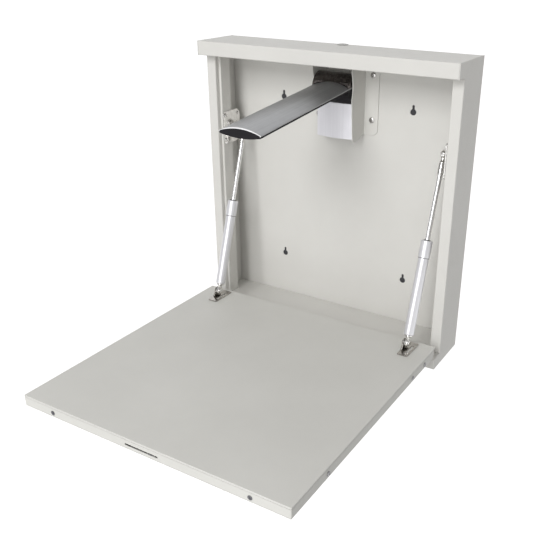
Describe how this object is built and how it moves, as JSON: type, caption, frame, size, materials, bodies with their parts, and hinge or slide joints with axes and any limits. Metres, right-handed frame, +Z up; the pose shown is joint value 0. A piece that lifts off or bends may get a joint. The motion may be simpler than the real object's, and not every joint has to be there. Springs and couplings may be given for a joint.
{
  "type": "changing table",
  "caption": "Wall-hung sheet-metal cabinet with a fold-down changing surface on two gas struts and a folding lens-section arm.",
  "frame": {"origin": "centre of the back panel's rear face, which lies on the wall", "axes": "+X to the right seen from the front, +Y into the wall, +Z up; the table opens towards -Y"},
  "size_m": [0.6032, 0.7054, 0.6423],
  "materials": {
    "black_plastic": "fine moulded texture",
    "bright_steel": "zinc plated or polished",
    "cabinet_paint": "fine powder coat",
    "grey_plastic": "smooth",
    "pale_aluminium": "matt silver",
    "satin_aluminium": "satin",
    "table_paint": "fine powder coat",
    "tube_silver": "silver lacquer"
  },
  "bodies": {
    "cabinet": {"arm_bracket": "cabinet_paint", "arm_bracket_cover": "pale_aluminium", "arm_bracket_screw_1": "bright_steel", "arm_bracket_screw_2": "bright_steel", "arm_bracket_screw_3": "bright_steel", "arm_bracket_screw_4": "bright_steel", "arm_pivot_pin": "bright_steel", "back_panel": "cabinet_paint", "bottom_apron": "cabinet_paint", "cap_plug": "grey_plastic", "hinge_fixed_leaf": "bright_steel", "hinge_pin": "bright_steel", "left_side_wall": "cabinet_paint", "left_upper_bracket_screw_1": "bright_steel", "left_upper_bracket_screw_2": "bright_steel", "left_upper_strut_bracket": "bright_steel", "right_side_wall": "cabinet_paint", "right_upper_bracket_screw_1": "bright_steel", "right_upper_bracket_screw_2": "bright_steel", "right_upper_strut_bracket": "bright_steel", "top_cap": "cabinet_paint"},
    "table": {"hinge_table_leaf": "bright_steel", "latch_guide": "grey_plastic", "left_lower_strut_bracket": "bright_steel", "left_lower_strut_pin": "bright_steel", "right_lower_strut_bracket": "bright_steel", "right_lower_strut_pin": "bright_steel", "table_cover": "table_paint", "table_front_screw_left": "bright_steel", "table_front_screw_right": "bright_steel", "table_pan": "table_paint", "table_side_screw_left_1": "bright_steel", "table_side_screw_left_2": "bright_steel", "table_side_screw_left_3": "bright_steel", "table_side_screw_right_1": "bright_steel", "table_side_screw_right_2": "bright_steel", "table_side_screw_right_3": "bright_steel", "table_stiffener": "table_paint"},
    "latch": {"latch_bolt": "bright_steel"},
    "arm": {"arm_core": "black_plastic", "arm_end_cap": "black_plastic", "arm_hub": "black_plastic", "arm_shell": "satin_aluminium"},
    "left_strut_barrel": {"left_strut_lower_eye": "bright_steel", "left_strut_sleeve": "tube_silver", "left_strut_tube": "tube_silver"},
    "left_strut_rod": {"left_strut_piston": "black_plastic", "left_strut_rod": "bright_steel", "left_strut_rod_eye": "bright_steel"},
    "right_strut_barrel": {"right_strut_lower_eye": "bright_steel", "right_strut_sleeve": "tube_silver", "right_strut_tube": "tube_silver"},
    "right_strut_rod": {"right_strut_piston": "black_plastic", "right_strut_rod": "bright_steel", "right_strut_rod_eye": "bright_steel"}
  },
  "joints": [
    {"name": "table_fold", "type": "hinge", "parent": "cabinet", "child": "table", "pos_m": [0, -0.127, -0.2885], "axis": [-1, 0, 0], "range_deg": [0, 90]},
    {"name": "arm_fold", "type": "hinge", "parent": "cabinet", "child": "arm", "pos_m": [0, -0.044, 0.222], "axis": [1, 0, 0], "range_deg": [0, 91.3]},
    {"name": "left_strut_swing", "type": "hinge", "parent": "table", "child": "left_strut_barrel", "pos_m": [-0.248, -0.163, -0.252], "axis": [1, 0, 0], "range_deg": [0, 100.38]},
    {"name": "left_strut_stroke", "type": "slide", "parent": "left_strut_barrel", "child": "left_strut_rod", "axis": [0, -0.3185, -0.9479], "range_m": [0, 0.01636]},
    {"name": "right_strut_swing", "type": "hinge", "parent": "table", "child": "right_strut_barrel", "pos_m": [0.248, -0.163, -0.252], "axis": [1, 0, 0], "range_deg": [0, 100.38]},
    {"name": "right_strut_stroke", "type": "slide", "parent": "right_strut_barrel", "child": "right_strut_rod", "axis": [0, -0.3185, -0.9479], "range_m": [0, 0.01636]},
    {"name": "latch_slide", "type": "slide", "parent": "table", "child": "latch", "axis": [0, -1, 0], "range_m": [0, 0.005]}
  ],
  "couplings": [
    {"joint": "arm_fold", "follows": "table_fold", "ratio": 1.0144},
    {"joint": "left_strut_swing", "follows": "table_fold", "ratio": 1.1153},
    {"joint": "left_strut_stroke", "follows": "table_fold", "m_per_rad": 0.010416},
    {"joint": "right_strut_swing", "follows": "table_fold", "ratio": 1.1153},
    {"joint": "right_strut_stroke", "follows": "table_fold", "m_per_rad": 0.010416}
  ]
}
